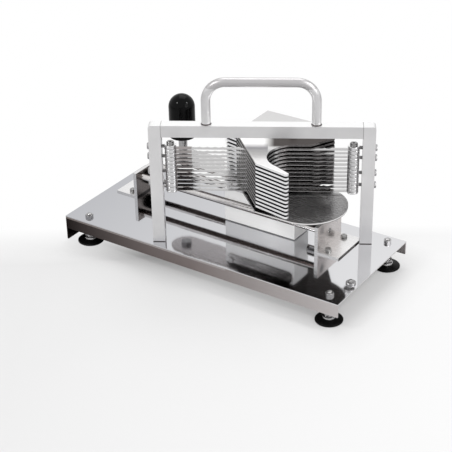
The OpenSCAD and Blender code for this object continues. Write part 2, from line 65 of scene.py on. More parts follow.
# %% Camera
right = Vector((0.8321, 0.5544, -0.0176)).normalized()
up = Vector((-0.2577, 0.4146, 0.8728)).normalized()
back = right.cross(up)
camera = bpy.data.objects.new("Camera", bpy.data.cameras.new("Camera"))
camera.matrix_world = Matrix((right, up, back)).transposed().to_4x4()
camera.location = (0.8619, -1.2813, 0.9035)
camera.data.lens = 104.34
camera.data.sensor_width = 36
bpy.context.scene.collection.objects.link(camera)
bpy.context.scene.camera = camera
print("camera looks along", rounded(-back))

# %% [markdown]
# ## Shader arithmetic
# A shader that is wired by hand needs a line for every node and every link. Here one
# small class wraps an output socket and knows the arithmetic signs, so that a mask can
# be written as an expression, and one method adds every other kind of node.

# %% A socket that can be used in an expression
class Wire:
    """An output socket. Sums and products of wires add Math nodes."""

    def __init__(self, graph, socket):
        self.graph, self.socket = graph, socket

    def math(self, operation, *others, swap=False):
        values = [self, *others]
        if swap:
            values.reverse()
        return self.graph.node("ShaderNodeMath", {"operation": operation}, dict(enumerate(values)))

    def __add__(self, other): return self.math("ADD", other)
    def __radd__(self, other): return self.math("ADD", other)
    def __sub__(self, other): return self.math("SUBTRACT", other)
    def __rsub__(self, other): return self.math("SUBTRACT", other, swap=True)
    def __mul__(self, other): return self.math("MULTIPLY", other)
    def __rmul__(self, other): return self.math("MULTIPLY", other)
    def __truediv__(self, other): return self.math("DIVIDE", other)
    def __lt__(self, other): return self.math("LESS_THAN", other)
    def __gt__(self, other): return self.math("GREATER_THAN", other)
    def absolute(self): return self.math("ABSOLUTE")
    def lowest(self, other): return self.math("MINIMUM", other)
    def highest(self, other): return self.math("MAXIMUM", other)
    def wave(self): return self.math("SINE")

    def rise(self, start, width):
        """From 0 at start to 1 one width further on, and level outside that."""
        return ((self - start) / width).lowest(1.0).highest(0.0)


print("wires can be added, multiplied and compared")


# %% A node tree with one method that adds any node
class Graph:
    """A shader tree or a geometry tree."""

    def __init__(self, tree):
        self.tree = tree

    def node(self, kind, settings=None, inputs=None, output=0):
        """Adds a node. An input is a number, a colour, a wire or a list of wires."""
        made = self.tree.nodes.new(kind)
        for name, value in (settings or {}).items():
            setattr(made, name, value)
        for key, value in (inputs or {}).items():
            for one in value if isinstance(value, list) else [value]:
                if isinstance(one, Wire):
                    self.tree.links.new(one.socket, made.inputs[key])
                else:
                    made.inputs[key].default_value = one
        return Wire(self, made.outputs[output])


print("shader and geometry trees are written with Graph.node and arithmetic")

# %% [markdown]
# ## A finish for each kind of surface
# Steel is never one flat grey. Rolled sheet shows fine lines along its length, ground
# rod shows rings, and cast or moulded parts show a faint cloud. Each finish below starts
# from the same helper: a Principled shader, the piece's own place in metres, a slow
# cloud and a fine grain that is stretched along one direction. Polished steel takes its
# tone from the room around it, and this room is empty. So masks on the place, and on
# the way a face looks, give each face the tone that the room gives it in the photograph.

# %% Places, looks, clouds and grain on a piece, as wires
class Surface(Graph):
    """A shader tree that starts from the piece's own place in metres."""

    def __init__(self, tree):
        super().__init__(tree)
        self.place = self.node("ShaderNodeTexCoord", None, None, "Object")

    def turned(self, centre=(0, 0, 0), angle=0.0, scale=(1, 1, 1)):
        """The place on the piece, seen from a centre, turned about Z and stretched."""
        moved = self.node("ShaderNodeMapping", {"vector_type": "TEXTURE"},
                          {"Vector": self.place, "Location": centre, "Rotation": (0, 0, angle)})
        return self.node("ShaderNodeMapping", {"vector_type": "POINT"},
                         {"Vector": moved, "Scale": scale})

    def cloud(self, size, detail=2.0, place=None):
        """Slow variation, with features of about that size in metres."""
        return self.node("ShaderNodeTexNoise", None,
                         {"Vector": place or self.place, "Scale": 1 / size, "Detail": detail,
                          "Roughness": 0.5})

    def grain(self, scale, detail=2.0, centre=(0, 0, 0), angle=0.0):
        """Fine lines or rings. The scale says how many there are in a metre on each axis."""
        return self.cloud(1.0, detail, self.turned(centre, angle, scale))

    def part(self, axis, place=None):
        """One coordinate of a place."""
        return self.node("ShaderNodeSeparateXYZ", None, {0: place or self.place}, axis)

    def faces(self, axis):
        """How far a face looks along one axis, from -1 to 1."""
        look = self.node("ShaderNodeTexCoord", None, None, "Normal")
        return self.node("ShaderNodeSeparateXYZ", None, {0: look}, axis)


print("a surface gives places, looks, clouds and grain")


# %% The helper that starts a finish
FACTOR, COLOUR_A, COLOUR_B, COLOUR_OUT = 0, 6, 7, 2


class Finish(Surface):
    """A material whose constants are set on the Principled shader's own sockets."""

    def __init__(self, name, **constants):
        self.material = bpy.data.materials.new(name)
        self.material.use_nodes = True
        super().__init__(self.material.node_tree)
        self.shader = self.tree.nodes["Principled BSDF"]
        for key, value in constants.items():
            self.shader.inputs[key.replace("_", " ")].default_value = value

    def blend(self, mask, low, high, how="MIX"):
        """A colour between low and high. Each is a wire or three numbers."""
        low, high = (c if isinstance(c, Wire) else (*c, 1) for c in (low, high))
        return self.node("ShaderNodeMix", {"data_type": "RGBA", "blend_type": how, "clamp_factor": True},
                         {FACTOR: mask, COLOUR_A: low, COLOUR_B: high}, COLOUR_OUT)

    def join(self, wire, key):
        self.tree.links.new(wire.socket, self.shader.inputs[key])

    def feed(self, colour, rough=None, bump=None, depth=0.00002):
        """Joins the colour, the roughness and a bump of that depth in metres."""
        self.join(colour, "Base Color")
        if rough is not None:
            self.join(rough, "Roughness")
        if bump is not None:
            height = {"Height": bump, "Distance": depth, "Strength": 1.0}
            self.join(self.node("ShaderNodeBump", None, height, "Normal"), "Normal")
        return self.material


print("a finish blends them and feeds a Principled shader")


# %% Where the portal stands, and how far it is turned from the rods
PORTAL = Vector((0.0514, -0.0055, 0.0))
TURN = math.radians(30.5)
print("portal at", rounded(PORTAL, 4), "turned by", round(math.degrees(TURN), 1), "degrees")

# %% [markdown]
# ## Polished sheet for the base
# The base is a folded sheet whose top is polished like a mirror, so the carriage and the
# rods show in it, and its top is painted from darker on the left to paler on the right as a
# painted reflection. Its flanges keep the streaked surface of the rolled sheet under painted
# shade. One material does both: a mask on the height says where the top ends and the flange
# starts. The painted shade is darkest at the flange's left end, and a painted highlight
# shows as a paler line along the bend on the left.

# %% Polished sheet, with heights and lengths in metres
TOP_STARTS, BEND_STARTS, BEND_ENDS = 0.0358, 0.0332, 0.05
LEFT_END, BASE_LENGTH = -0.215, 0.43
sheet = Finish("polished_sheet", Metallic=1.0)
x, z = sheet.part(X), sheet.part(Z)
flange = z < TOP_STARTS
streak, cloud = sheet.grain((6, 6, 900), 3.0), sheet.cloud(0.09)
along = x.rise(LEFT_END, BASE_LENGTH)
left_half, right_half = along * 2.0, along * 2.0 - 1.0
# Painted reflection: the top is painted from darker on the left to paler on the right.
top_painted_reflection = sheet.blend(along, (0.50, 0.505, 0.53), (0.74, 0.74, 0.755))
# Painted shade on the flanges: near black at the left end, paler towards the middle and the right.
flange_end_painted_shade = sheet.blend(left_half, (0.014, 0.009, 0.008), (0.275, 0.236, 0.230))
side_grey = sheet.blend(right_half, flange_end_painted_shade, (0.64, 0.61, 0.61))
streaked = sheet.blend(1.0, side_grey, (0.78, 0.77, 0.76), "MULTIPLY")
side_grey = sheet.blend(streak * 0.5 + cloud * 0.5 - 0.1, streaked, side_grey)
# Painted highlight: a paler line along the top of the flange where it bends, left of x = 50 mm.
bend_painted_highlight = sheet.blend(left_half, (0.20, 0.17, 0.16), (0.42, 0.39, 0.385))
side_grey = sheet.blend((z > BEND_STARTS) * (x < BEND_ENDS), side_grey, bend_painted_highlight)
polished_sheet = sheet.feed(sheet.blend(flange, top_painted_reflection, side_grey),
                            flange * 0.26 + cloud * 0.05 + 0.035,
                            cloud * 0.5 + streak * flange * 0.15, 0.0004)
print("polished sheet: mirror top, streaked flanges below", TOP_STARTS, "m")

# %% [markdown]
# ## Satin sheet for the brackets and the tray
# The brackets, the strip and the tray are cut from sheet with a satin face. The grain
# runs along the rods, and a slow cloud keeps large faces from looking printed. The tops
# below the tray are painted paler as painted light, and the tray's top darker as painted
# shade. The cut ends on the left carry painted shade, and down at the foot they are painted
# nearly black as painted shade. The underside of the tray is painted darker to the right as
# painted shade, and its rim has painted shade on the left, painted light on the right and a
# painted shade line at each edge.

# %% Satin sheet: the tones
TRAY_STARTS = 0.1
satin = Finish("brushed_sheet", Metallic=1.0)
grain, cloud = satin.grain((25, 1400, 1400)), satin.cloud(0.05)
x, z, look = satin.part(X), satin.part(Z), satin.faces(Z)
rolled = grain * 0.6 + cloud * 0.7 - 0.15
open_face = satin.blend(rolled, (0.58, 0.575, 0.575), (0.84, 0.835, 0.835))
# Painted light and shade: the tops below the tray are painted paler, the tray's top darker.
low_top_painted_light = satin.blend(rolled, (0.62, 0.61, 0.61), (0.88, 0.875, 0.875))
tray_top_painted_shade = satin.blend(rolled, (0.44, 0.435, 0.435), (0.66, 0.655, 0.655))
# Painted shade: the cut ends on the left are painted darker than those on the right.
left_end_painted_shade = satin.blend(rolled, (0.15, 0.13, 0.12), (0.27, 0.245, 0.235))
right_end = satin.blend(rolled, (0.56, 0.52, 0.51), (0.84, 0.80, 0.78))
# The underside is painted darker from x = -35 mm on as painted shade, and the rim's painted shade gives way to
# painted light from x = -20 mm on.
underside = satin.blend(x.rise(-0.035, 0.10), (0.62, 0.59, 0.585), (0.018, 0.014, 0.013))
rim_painted_shading = satin.blend(x.rise(-0.02, 0.12), (0.42, 0.39, 0.38), (0.80, 0.79, 0.79))
print("satin sheet: grain along the rods")

# %% Satin sheet: which face takes which tone
FOOT_ENDS, RIM_MIDDLE, RIM_HALF = 0.0395, 0.1075, 0.0009
tray = z > TRAY_STARTS
# Painted shade: the cut ends down at the foot are painted nearly black.
end_face = satin.blend(z < FOOT_ENDS, satin.blend(x > 0, left_end_painted_shade, right_end), (0.05, 0.045, 0.043))
side_face = satin.blend(satin.faces(X).absolute() > 0.5, open_face, end_face)
rim = (look.absolute() < 0.5) * tray
# Painted shade: a dark line along each edge of the tray's rim.
rim_painted_shade_line = rim * ((z - RIM_MIDDLE).absolute() > RIM_HALF)
grey = satin.blend(look > 0.5, side_face, satin.blend(tray, low_top_painted_light, tray_top_painted_shade))
grey = satin.blend(rim, satin.blend(look < -0.5, grey, underside), rim_painted_shading)
brushed_sheet = satin.feed(satin.blend(rim_painted_shade_line, grey, (0.03, 0.026, 0.025)),
                           grain * 0.16 + cloud * 0.1 + 0.13, grain, 0.00003)
print("satin sheet: tray above", TRAY_STARTS, "m, brackets and strip below")

# %% [markdown]
# ## Satin tube for the portal and the handle
# The portal is square tube with a fine even satin face. The two legs run up past the bar,
# and where they meet it the joint is ground flush and shows as one thin line. The line and
# the lighter legs are masks on the portal's own length, which a Mapping node turns. The
# upward faces are painted pale as painted light. Masks on the height paint shade on the
# top of the handle and on the feet of the legs and of the handle, and the bar's underside
# is painted nearly black as painted shade.

# %% Satin tube
LEG_STARTS, LINE_HALF, LINE_STARTS = 0.1285, 0.00035, 0.1895
LEG_FOOT_ENDS, UNDERSIDE_ENDS, HANDLE_TOP_STARTS = 0.0380, 0.2, 0.256
HANDLE_FOOT_LOW, HANDLE_FOOT_HIGH = 0.2061, 0.2077
tube = Finish("portal_steel", Metallic=1.0)
own = tube.turned(tuple(PORTAL), TURN)
across, height, look = tube.part(X, own).absolute(), tube.part(Z), tube.faces(Z)
speck, cloud = tube.cloud(0.0011), tube.cloud(0.045, 3.0, own)
joint = ((across - LEG_STARTS).absolute() < LINE_HALF) * (height > LINE_STARTS)
handle_foot = (height > HANDLE_FOOT_LOW) * (height < HANDLE_FOOT_HIGH)
grey = tube.blend(cloud * 0.9 + (across > LEG_STARTS) * 0.25 - 0.1, (0.57, 0.565, 0.57), (0.78, 0.775, 0.78))
# Painted light: the upward faces are painted pale.
grey = tube.blend(look > 0.7, grey, (0.80, 0.80, 0.80))
# Painted shade: the top of the handle is painted darker.
grey = tube.blend(height > HANDLE_TOP_STARTS, grey, (0.48, 0.47, 0.475))
# Painted shade: the feet of the legs and of the handle are painted nearly black.
grey = tube.blend((height < LEG_FOOT_ENDS).highest(handle_foot), grey, (0.10, 0.09, 0.09))
# Painted shade: the bar's underside is painted nearly black.
grey = tube.blend((look < -0.5) * (height < UNDERSIDE_ENDS), grey, (0.06, 0.052, 0.05))
portal_steel = tube.feed(tube.blend(joint, grey, (0.30, 0.29, 0.29)),
                         speck * 0.1 + cloud * 0.08 + 0.27, speck - joint * 2.0, 0.00003)
print("satin tube: joint line", LEG_STARTS, "m from the middle of the bar")

# %% [markdown]
# ## Rods, bolts, blades and plates
# The rods are ground and nearly mirror-bright, with a dark reflection painted above and below
# the bright band. Bolts are plain stainless with a slightly uneven satin, and the socket
# screws are a darker steel. The blades have lines along their length, a bright ground
# edge and a browner plain end.

# %% Ground rod
rod = Finish("rod_steel", Metallic=1.0)
rings = rod.grain((900, 30, 30))
side, look = rod.faces(Y), rod.faces(Z)
# Painted dark reflection: the rod is painted nearly black above and below its bright band.
painted_dark_reflection = ((side > -0.25) * (look > 0.1)).highest(look < -0.25)
grey = rod.blend(rings, (0.50, 0.48, 0.475), (0.74, 0.725, 0.72))
rod_steel = rod.feed(rod.blend(painted_dark_reflection, grey, (0.07, 0.055, 0.05)), rings * 0.08 + 0.12, rings, 0.000004)
print("ground rod: rings, and two dark bands along it")

# %% Bolts and dark screws
bolt = Finish("bolt_steel", Metallic=1.0)
cloud = bolt.cloud(0.004, 3.0)
grey = bolt.blend(cloud * 1.4 - 0.2, (0.22, 0.215, 0.215), (0.54, 0.535, 0.54))
bolt_steel = bolt.feed(grey, cloud * 0.2 + 0.12, cloud, 0.00004)
dark = Finish("screw_dark", Metallic=1.0)
cloud = dark.cloud(0.003, 3.0)
grey = dark.blend(cloud, (0.16, 0.155, 0.15), (0.42, 0.42, 0.42))
screw_dark = dark.feed(grey, cloud * 0.2 + 0.18, cloud, 0.00004)
print("bolts in plain steel, screws in dark steel")

# %% Blade steel
EDGE_STARTS, PLAIN_ENDS = 0.0016, -0.09
blade = Finish("blade_steel", Metallic=1.0)
own = blade.turned(tuple(PORTAL), TURN)
lines = blade.grain((12, 1500, 1500), 2.0, tuple(PORTAL), TURN)
edge = blade.part(Y, own) > EDGE_STARTS
plain = blade.part(X, own) < PLAIN_ENDS
grey = blade.blend(lines * 0.7 + edge * 0.4, (0.40, 0.395, 0.395), (0.74, 0.735, 0.735))
blade_steel = blade.feed(blade.blend(plain, grey, (0.30, 0.275, 0.27)),
                         lines * 0.12 + 0.12 - edge * 0.05, lines)
print("blade steel: ground from", EDGE_STARTS, "m past the portal's middle line")

# %% [markdown]
# ## Finger plates
# The finger plates have a soft satin face. Their thin walls are painted bright as painted
# light, the slanted ends darker as painted shade, and the faces that look into the slots are
# painted nearly black as painted shade, as are the walls at the far right. On the upper face
# a grey band along the portal is a painted reflection of the bar above, and a dark area
# right of it is a painted dark reflection. Both follow the portal, so they use its own
# directions, u along the bar and v across it.

# %% Finger plates: the walls and the slots
TOP_FACE_STARTS = 0.1755
plate = Finish("finger_steel", Metallic=1.0)
lines, cloud = plate.grain((18, 1100, 1100)), plate.cloud(0.04)
z, look = plate.part(Z), plate.faces(Z)
wall = look.absolute() < 0.5
inner = (look.absolute() > 0.5) * (z < TOP_FACE_STARTS)
slant = wall * (plate.faces(X) < -0.4)
grey = plate.blend(lines * 0.5 + cloud * 0.8 - 0.15, (0.50, 0.495, 0.50), (0.80, 0.80, 0.80))
# Painted light: the thin walls are painted bright.
grey = plate.blend(wall, grey, (0.86, 0.86, 0.87))
# Painted shade: the slanted ends are painted darker.
grey = plate.blend(slant, grey, (0.52, 0.505, 0.50))
# Painted shade: the faces that look into the slots are painted nearly black.
grey = plate.blend(inner, grey, (0.035, 0.030, 0.028))
print("finger plates: bright walls, dark slots")

# %% Finger plates: the upper face and the far right
BAR_REFLECTION_MIDDLE, BAR_REFLECTION_HALF, BAR_REFLECTION_ENDS, REAR_STARTS = -0.007, 0.014, 0.008, 0.045
own = plate.turned(tuple(PORTAL), TURN)
u, v = plate.part(X, own), plate.part(Y, own)
top = (look > 0.5) * (z > TOP_FACE_STARTS)
# The painted dark reflection starts at u = 2 mm and at the painted reflection of the bar, and fades out again
# from v = 30 to 56 mm.
patch = u.rise(0.002, 0.014) * v.rise(BAR_REFLECTION_MIDDLE, 0.007) * v.rise(0.056, -0.026)
bar_reflection = (1.0 - (v - BAR_REFLECTION_MIDDLE).absolute() / BAR_REFLECTION_HALF).highest(0.0) * (u < BAR_REFLECTION_ENDS)
# Painted reflection: the upper face is painted bright, with a grey band where the bar is mirrored and a middle
# grey at the rear.
painted_sheen = plate.blend(bar_reflection, (0.90, 0.895, 0.89), (0.36, 0.35, 0.37))
painted_sheen = plate.blend(v > REAR_STARTS, painted_sheen, (0.58, 0.575, 0.575))
# Painted dark reflection: the area right of the band is painted nearly black.
grey = plate.blend(top, grey, plate.blend(patch, painted_sheen, (0.045, 0.036, 0.033)))
# Painted shade: the walls at the far right are painted nearly black.
far_right = plate.part(Y).rise(-0.012, 0.015) * plate.part(X).rise(0.055, 0.02)
grey = plate.blend(wall * far_right * 0.85, grey, (0.07, 0.058, 0.055))
finger_steel = plate.feed(grey, lines * 0.12 + cloud * 0.08 + 0.16 + top * 0.12, lines)
print("finger plates: sheen, haze and patch on the upper face")

# %% [markdown]
# ## Plastic and rubber
# The block and the post are white plastic that was milled, so very faint tool lines run
# along them. A faint emission paints light onto the plastic, standing for the light it lets
# through, and more is painted on the post. The grip is moulded and glossy, with the slight
# unevenness of a hand-polished mould. The feet and the bumper are matt rubber with rings
# that the mould left.

# %% White plastic
POST_STARTS = 0.1075
white = Finish("white_plastic", Metallic=0.0, Emission_Strength=1.0)
tool, cloud = white.grain((14, 500, 500)), white.cloud(0.03)
grey = white.blend(tool * 0.5 + cloud * 0.5, (0.86, 0.855, 0.85), (0.93, 0.93, 0.925))
white_plastic = white.feed(grey, tool * 0.15 + 0.28, tool, 0.00003)
# Painted light: the emission makes the plastic glow, more on the post.
glow = white.blend(white.part(Z) > POST_STARTS, (0.08, 0.08, 0.08), (0.28, 0.28, 0.28))
white.join(glow, "Emission Color")
print("white plastic: tool lines along it, a faint glow")

# %% Black plastic
gloss = Finish("black_plastic", Metallic=0.0, Specular_IOR_Level=0.10)
cloud = gloss.cloud(0.012, 3.0)
black = gloss.blend(cloud, (0.0008, 0.0008, 0.001), (0.003, 0.003, 0.003))
black_plastic = gloss.feed(black, cloud * 0.02 + 0.03, cloud, 0.00004)
print("black plastic: smooth, with a slightly uneven mould")

# %% Black rubber, with a ring every 2.1 mm
WAVE_PER_METRE = 3000
rubber = Finish("black_rubber", Metallic=0.0, Specular_IOR_Level=0.08)
cloud = rubber.cloud(0.0016, 3.0)
band = (rubber.part(Z) * WAVE_PER_METRE).wave()
black = rubber.blend(cloud, (0.001, 0.001, 0.001), (0.004, 0.004, 0.004))
black_rubber = rubber.feed(black, cloud * 0.2 + 0.30, cloud + band * 0.15, 0.00008)
print("black rubber: rings", round(math.tau / WAVE_PER_METRE, 4), "m apart")

# %% [markdown]
# ## Giving each solid its finish
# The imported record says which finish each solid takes, so the table is read from it and
# not written again. Only the object's material slots are changed, never its mesh.

# %% Put the finishes on
FINISHES = {"polished_sheet": polished_sheet, "brushed_sheet": brushed_sheet,
            "portal_steel": portal_steel, "rod_steel": rod_steel, "bolt_steel": bolt_steel,
            "screw_dark": screw_dark, "blade_steel": blade_steel, "finger_steel": finger_steel,
            "white_plastic": white_plastic, "black_plastic": black_plastic,
            "black_rubber": black_rubber}


def paint(piece, finish):
    if not piece.material_slots:
        piece.data.materials.append(finish)
    for held in piece.material_slots:
        held.material = finish


for row in frame["record"]["subparts"]:
    paint(nodes[row["node"]], FINISHES[row["material_slot"]])

# %% [markdown]
# ## Turned parts
# Nuts, screws and rings are all turned shapes: a profile that goes once round an axis.
# A Screw modifier or a Spin could do it. Plain code is used instead, because a nut is
# also turned but is cut flat on six sides, and here a point of the profile can name the
# distance from the axis to those flats.

# %% A turned shape, round or with six flats
def turned(bm, profile, steps=36, at=(0, 0, 0), along=(0, 0, 1), closed=False):
    """Adds a turned shape to bm, in mm. A point is (radius, height) or (radius, height, flats)."""
    turn = Vector((0, 0, 1)).rotation_difference(Vector(along)).to_matrix()
    loops = []
    for point in profile:
        radius, height, flats = (*point, None)[:3]
        loop = []
        for k in range(steps if radius > 0 else 1):
            a = math.tau * k / steps
            r = radius
            if flats:
                r = min(radius, flats / math.cos((a + math.pi / 6) % (math.pi / 3) - math.pi / 6))
            spot = turn @ Vector((r * math.cos(a), r * math.sin(a), height))
            loop.append(bm.verts.new((Vector(at) + spot) * MM))
        loops.append(loop)
    for low, high in zip(loops, loops[1:] + ([loops[0]] if closed else [])):
        for k in range(steps):
            corners = dict.fromkeys((low[k % len(low)], low[(k + 1) % len(low)],
                                     high[(k + 1) % len(high)], high[k % len(high)]))
            if len(corners) > 2:
                bm.faces.new(list(corners))


def thread(radius, low, high, pitch=1.25, depth=0.5):
    """The side of a threaded end, as a row of ridges."""
    count = max(1, int((high - low) / pitch))
    step = (high - low) / count
    return [(radius - depth * (k % 2), low + step * k / 2) for k in range(2 * count + 1)]


def flats_of(corners):
    """How far the flats of a hexagon are from its axis, from its width across the corners."""
    return corners / 2 * math.cos(math.pi / 6)


def template(name, draw):
    """An object that holds one turned part, for a geometry tree to copy."""
    bm = bmesh.new()
    draw(bm)
    mesh = bpy.data.meshes.new(name)
    bm.to_mesh(mesh)
    bm.free()
    mesh.shade_smooth()
    mesh.set_sharp_from_angle(angle=math.radians(35))
    made = bpy.data.objects.new(name, mesh)
    bpy.context.scene.collection.objects.link(made)
    return made


print("turned shapes, threads and templates can be drawn")

# %% [markdown]
# ## A geometry tree that copies a part to its places
# The same screw sits at two, three or eight places. A geometry tree takes the points of
# a small mesh, puts a copy of the template on each, turns it as the point says, and makes
# one real mesh of the result. The numbers that a maker would change are named inputs.

# %% Start a geometry tree with named inputs
def geometry_tree(name, sockets):
    """A geometry tree with the geometry and the named sockets as its inputs."""
    group = bpy.data.node_groups.new(name, "GeometryNodeTree")
    group.interface.new_socket("Geometry", in_out="INPUT", socket_type="NodeSocketGeometry")
    group.interface.new_socket("Geometry", in_out="OUTPUT", socket_type="NodeSocketGeometry")
    for key, kind in sockets.items():
        group.interface.new_socket(key, in_out="INPUT", socket_type="NodeSocket" + kind)
    graph = Graph(group)
    source = group.nodes.new("NodeGroupInput")
    graph.given = {socket.name: Wire(graph, socket) for socket in source.outputs if socket.name}
    return graph


def end_tree(graph, shape, finish):
    """Realize Instances and Set Material close every tree."""
    real = graph.node("GeometryNodeRealizeInstances", None, {"Geometry": shape})
    done = graph.node("GeometryNodeSetMaterial", None, {"Geometry": real, "Material": finish})
    sink = graph.tree.nodes.new("NodeGroupOutput")
    graph.tree.links.new(done.socket, sink.inputs[0])


def grown(name, graph, places=(), turns=(), **values):
    """Runs a tree on a few points and returns the result as a plain mesh object."""
    seed_mesh = bpy.data.meshes.new(name)
    seed_mesh.from_pydata([tuple(v * MM for v in p) for p in places], [], [])
    if turns:
        turn = seed_mesh.attributes.new("turn", "FLOAT_VECTOR", "POINT")
        for k, value in enumerate(turns):
            turn.data[k].vector = value
    piece = bpy.data.objects.new(name, seed_mesh)
    bpy.context.scene.collection.objects.link(piece)
    modifier = piece.modifiers.new("Shape", "NODES")
    modifier.node_group = graph.tree
    for item in graph.tree.interface.items_tree:
        if item.item_type == "SOCKET" and item.in_out == "INPUT" and item.name in values:
            modifier[item.identifier] = values[item.name]
    real = bpy.data.meshes.new_from_object(piece.evaluated_get(bpy.context.evaluated_depsgraph_get()))
    piece.modifiers.remove(modifier)
    piece.data = real
    real.name = name
    return piece


# %% The tree that copies a template to points
copies = geometry_tree("copies_at_places", {"Template": "Object", "Finish": "Material"})
part_info = copies.node("GeometryNodeObjectInfo", {"transform_space": "ORIGINAL"},
                        {"Object": copies.given["Template"], "As Instance": True}, "Geometry")
angles = copies.node("GeometryNodeInputNamedAttribute", {"data_type": "FLOAT_VECTOR"}, {"Name": "turn"})
spread = copies.node("GeometryNodeInstanceOnPoints", None,
                     {"Points": copies.given["Geometry"], "Instance": part_info, "Rotation": angles})
end_tree(copies, spread, copies.given["Finish"])


def copies_of(draw, name, places, finish, body, replaced=(), turns=None):
    """Draws a part, copies it to its places, turned about Z, and lets it stand for CAD nodes."""
    part = template(name + "_part", draw)
    about_z = [(0, 0, turn) for turn in turns or [0.0] * len(places)]
    piece = grown(name, copies, places, about_z, Template=part, Finish=FINISHES[finish])
    bpy.data.objects.remove(part)
    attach(piece, body)
    if replaced:
        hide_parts(*replaced)
    print(name, len(piece.data.polygons), "faces at", len(places), "places")


# %% [markdown]
# ## Feet hardware
# Each rubber foot hangs on a stem with a wide hexagonal nut at its lower end. The thread
# of the stem goes through the base, and a smaller nut holds it from above. The thread
# stands a little out of that nut. The stem is turned once and copied to four places, and
# so is the rubber pad, which slopes up from a thin rim to the stem.

# %% Foot stems
FEET = {"foot_front_left": (-185, -77), "foot_front_right": (195, -77),
        "foot_back_left": (-185, 77), "foot_back_right": (195, 77)}
FOOT_PLACES = [(x, y, 0) for x, y in FEET.values()]


def foot_part(bm):
    wide, small = flats_of(16), flats_of(11)
    turned(bm, [(0, 7), (7.1, 7, wide), (8, 7.8, wide), (8, 11.2, wide), (7.1, 12, wide), (0, 12)], 48)
    turned(bm, [(7, 4.4), (8.4, 4.4), (8.4, 6.4), (8, 7.1), (7, 7.1)], 48, closed=True)
    turned(bm, [(0, 11.9), (5.7, 11.9), (6, 12.4), (6, 34.4), (5.7, 35), (0, 35)], 36)
    turned(bm, [(0, 34.9), *thread(3, 35, 42.1, 1.0), (2.4, 42.5), (0, 42.5)], 28)
    turned(bm, [(2.9, 37), (5.0, 37, small), (5.5, 37.4, small), (5.5, 40.4, small),
                (4.8, 41, small), (3.4, 41), (2.9, 40.6)], 48, closed=True)


copies_of(foot_part, "foot_stems", FOOT_PLACES, "bolt_steel", "frame", list(FEET), [0.2, 0.9, 1.5, 0.5])


# %% Rubber pads
def pad_part(bm):
    turned(bm, [(0, 0), (17, 0), (18, 0.8), (18, 2.2), (17.2, 3), (10, 4.2), (8, 5), (8, 7), (0, 7)], 56)


copies_of(pad_part, "rubber_pads", FOOT_PLACES, "black_rubber", "frame",
          [name.replace("foot", "pad") for name in FEET])

# %% [markdown]
# ## Bracket feet, their bolts and the lone base screw
# The foot of a bracket is a thinner sheet than its upright, so a copy of each bracket has
# its foot lowered and stands for the CAD node. Each bracket is held by two bolts with
# hexagonal heads on washers, and a nut sits under the sheet. The base has one more screw
# near its right end, with a domed head and a hexagonal socket.

# %% Bracket feet, thinner than the uprights
BASE_TOP, CAD_FOOT_TOP, FOOT_THICKNESS, SAME_HEIGHT = 0.037, 0.042, 0.0024, 0.00002


def thin_foot(name):
    """Stands for a bracket whose foot is lowered to its real thickness. The upright stays."""
    piece = bpy.data.objects.new(name + "_thin", nodes[name].data.copy())
    piece.matrix_world = nodes[name].matrix_world
    bpy.context.scene.collection.objects.link(piece)
    for vertex in piece.data.vertices:
        if abs(vertex.co.z - CAD_FOOT_TOP) < SAME_HEIGHT:
            vertex.co.z += FOOT_THICKNESS - (CAD_FOOT_TOP - BASE_TOP)
    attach(piece, "frame")
    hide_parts(name)
    print(piece.name, len(piece.data.polygons), "faces")


for side in ("bracket_left", "bracket_right"):
    thin_foot(side)


# %% Bracket bolts
def bracket_bolt(bm):
    """The head is drawn from height 42 on, and moved down onto the thin foot."""
    flats = flats_of(9)
    on_foot, below = (0, 0, 2.4 - 42), (0, 0, -37)
    turned(bm, [(0, 0), (2.5, 0), (2.5, 9.6), (0, 9.6)], 24, at=(0, 0, -8))
    turned(bm, [(0, 42), (4.3, 42), (4.5, 42.2), (4.5, 42.7), (4.3, 42.9), (0, 42.9)], 36, at=on_foot)
    turned(bm, [(0, 42.9), (4.1, 42.9, flats), (4.5, 43.4, flats), (4.5, 45.2, flats),
                (3.7, 46, flats), (0, 46)], 48, at=on_foot)
    turned(bm, [(0, 31), (4.0, 31, flats), (4.5, 31.5, flats), (4.5, 34.5, flats),
                (4.0, 35, flats), (0, 35)], 48, at=below)


copies_of(bracket_bolt, "bracket_bolts", [(x, y, 37) for x in (-177, 142) for y in (12, 54)],
          "screw_dark", "frame", ["bracket_bolts_left", "bracket_bolts_right"], [0.3, 1.0, 0.6, 0.1])


# %% Base screw
def base_screw_part(bm):
    turned(bm, [(0, 0), (6.2, 0), (6.5, 0.3), (6.5, 1.7), (6.2, 2), (0, 2)], 40)
    turned(bm, [(0, 1.9), (3.25, 1.9), (3.25, 3.6), (2.9, 4.5), (2.1, 5),
                (1.6, 5, 1.4), (1.6, 3.6, 1.4), (0, 3.6)], 36)


copies_of(base_screw_part, "base_screw_detail", [(204, -39, 37)], "bolt_steel", "frame", ["base_screw"], [0.4])

# %% [markdown]
# ## Blade stacks
# The ends of the blades are clamped between rings on two upright screws, and four bolts
# on each side pull a stack towards its leg to keep the blades tight. The rings have
# turned edges that catch the light, so they are copied up the screw by a geometry tree.

# %% Rings between the blades
def in_portal(along, across, height):
    """A point of the portal's own frame as a point of the slicer, in mm."""
    return (PORTAL.x / MM + along * math.cos(TURN) - across * math.sin(TURN),
            PORTAL.y / MM + along * math.sin(TURN) + across * math.cos(TURN), height)


def on_stacks(*heights):
    """A place on each of the two upright screws, at each height."""
    return [in_portal(side * UPRIGHT_SCREW, 0, height) for side in (-1, 1) for height in heights]


def ring(low, high, inner=3.15, outer=7.5, edge=0.3):
    """Draws a ring between two heights, with its outer edges broken."""
    profile = [(inner, low), (outer - edge, low), (outer, low + edge),
               (outer, high - edge), (outer - edge, high), (inner, high)]
    return lambda bm: turned(bm, profile, 44, closed=True)


